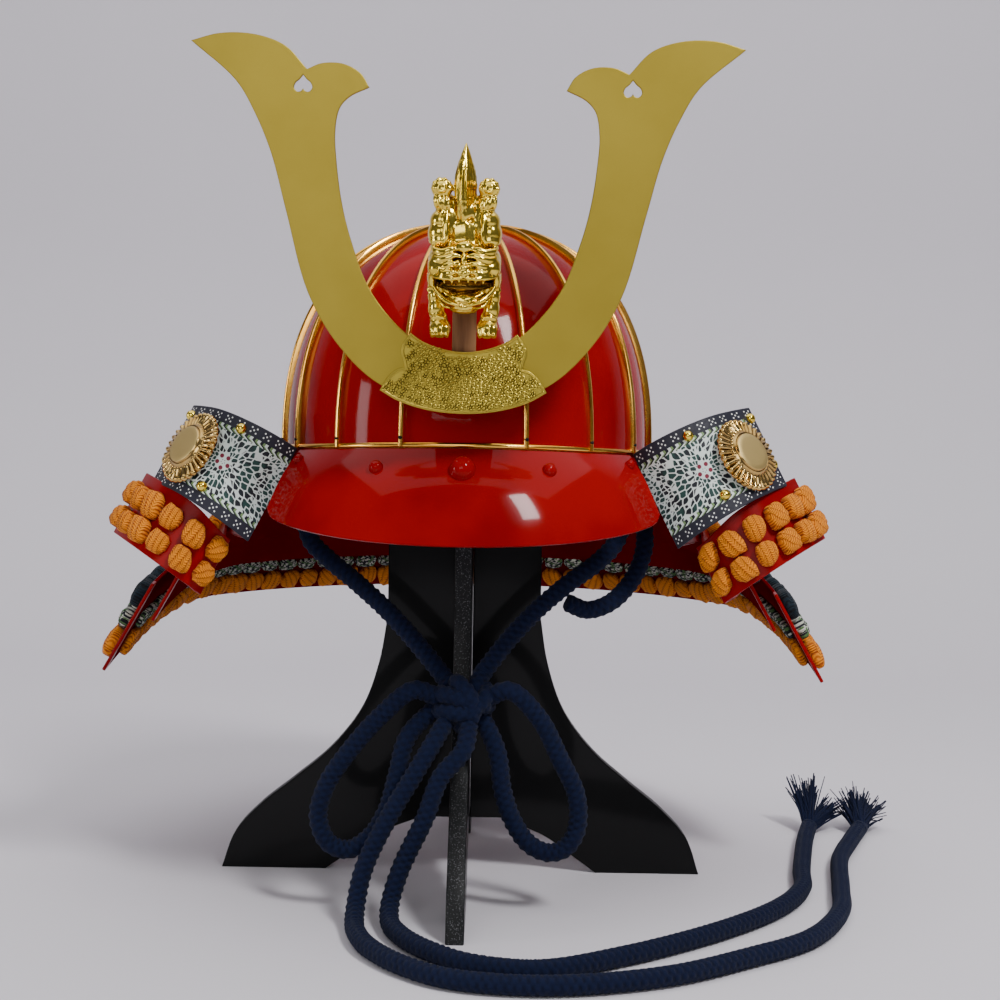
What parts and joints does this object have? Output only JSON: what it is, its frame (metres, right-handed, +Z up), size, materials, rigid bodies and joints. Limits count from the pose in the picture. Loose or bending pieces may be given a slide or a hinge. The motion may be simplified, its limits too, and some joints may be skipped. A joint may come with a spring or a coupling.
{
  "type": "kabuto samurai helmet on stand",
  "caption": "Lacquered ribbed helmet with horned gold crest, lion figure, turned-back flaps, laced neck guard and chin cord, resting on a crossed-board stand.",
  "frame": {"origin": "on the floor under the middle of the helmet and stand, cords not counted", "axes": "+Z up, the helmet faces -Y, its left side is +X"},
  "size_m": [0.5033, 0.4485, 0.473],
  "materials": {
    "red_lacquer": "glossy red lacquer over iron",
    "gilt": "polished orange gilt",
    "satin_gold": "satin gold plate",
    "polished_gold": "polished antique gold",
    "brown_wood": "plain oiled wood",
    "black_lacquer": "black lacquered wood, soft gloss",
    "orange_cord": "flat braided silk",
    "navy_cord": "braided silk",
    "mottled_cord": "braided silk in black, white and green",
    "printed_leather": "printed leather, white net on dark green"
  },
  "bodies": {
    "root": {"bowl": "red_lacquer", "rib_cage": "gilt", "brim": "red_lacquer", "brim_rivet_centre": "red_lacquer", "brim_rivet_middle_left": "red_lacquer", "brim_rivet_middle_right": "red_lacquer", "brim_rivet_side_left": "red_lacquer", "brim_rivet_side_right": "red_lacquer", "neck_lame_1": "red_lacquer", "neck_lame_2": "red_lacquer", "neck_lame_3": "red_lacquer", "neck_lame_4": "red_lacquer", "lacing_2_upper": "orange_cord", "lacing_2_lower": "orange_cord", "lacing_3": "navy_cord", "lacing_4_upper": "navy_cord", "lacing_4_middle": "mottled_cord", "lacing_4_lower": "orange_cord", "flap_lacing_upper_left": "orange_cord", "flap_lacing_upper_right": "orange_cord", "flap_lacing_lower_left": "orange_cord", "flap_lacing_lower_right": "orange_cord", "flap_leather_left": "printed_leather", "flap_leather_right": "printed_leather", "mon_left": "polished_gold", "mon_right": "polished_gold", "flap_rivet_inner_upper_left": "polished_gold", "flap_rivet_inner_upper_right": "polished_gold", "flap_rivet_inner_lower_left": "polished_gold", "flap_rivet_inner_lower_right": "polished_gold", "flap_rivet_outer_upper_left": "polished_gold", "flap_rivet_outer_upper_right": "polished_gold", "flap_rivet_outer_lower_left": "polished_gold", "flap_rivet_outer_lower_right": "polished_gold", "horn_left": "satin_gold", "horn_right": "satin_gold", "crest_base_plate": "satin_gold", "crest_peg": "brown_wood", "crest_socket": "black_lacquer", "lion_crest": "polished_gold", "stand_side_board": "black_lacquer", "stand_front_board": "black_lacquer", "cord_knot": "navy_cord", "cord_arm_right": "navy_cord", "cord_arm_left": "navy_cord", "cord_bow_right": "navy_cord", "cord_bow_left": "navy_cord", "cord_tail_outer": "navy_cord", "cord_tail_inner": "navy_cord", "cord_side_loop": "navy_cord", "tassel_outer": "navy_cord", "tassel_inner": "navy_cord"}
  },
  "joints": []
}
